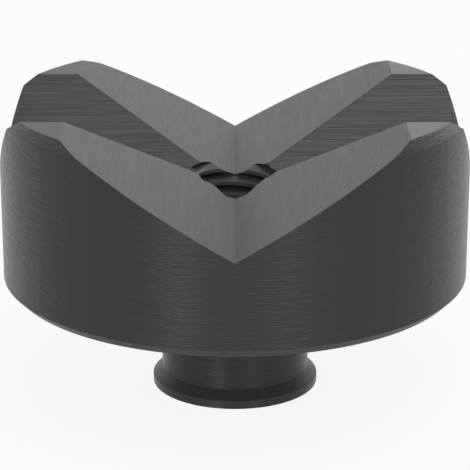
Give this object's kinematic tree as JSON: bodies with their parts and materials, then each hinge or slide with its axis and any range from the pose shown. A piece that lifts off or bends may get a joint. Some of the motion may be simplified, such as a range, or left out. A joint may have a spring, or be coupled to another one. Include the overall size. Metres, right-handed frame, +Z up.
{
  "type": "v block",
  "caption": "Round steel V-block head with two crossing V-grooves, a central tapped hole and an undercut locating spigot below.",
  "frame": {"origin": "on the turning axis in the seat plane, where the head's flat underside meets the spigot's neck", "axes": "+Z up the turning axis, out of the grooves; +Y along the 120 degree groove; +X along the 90 degree groove"},
  "size_m": [0.05, 0.05, 0.032],
  "materials": {
    "black_oxide_steel": "black oxide over turned and milled steel"
  },
  "bodies": {
    "root": {"v_block": "black_oxide_steel"}
  },
  "joints": []
}
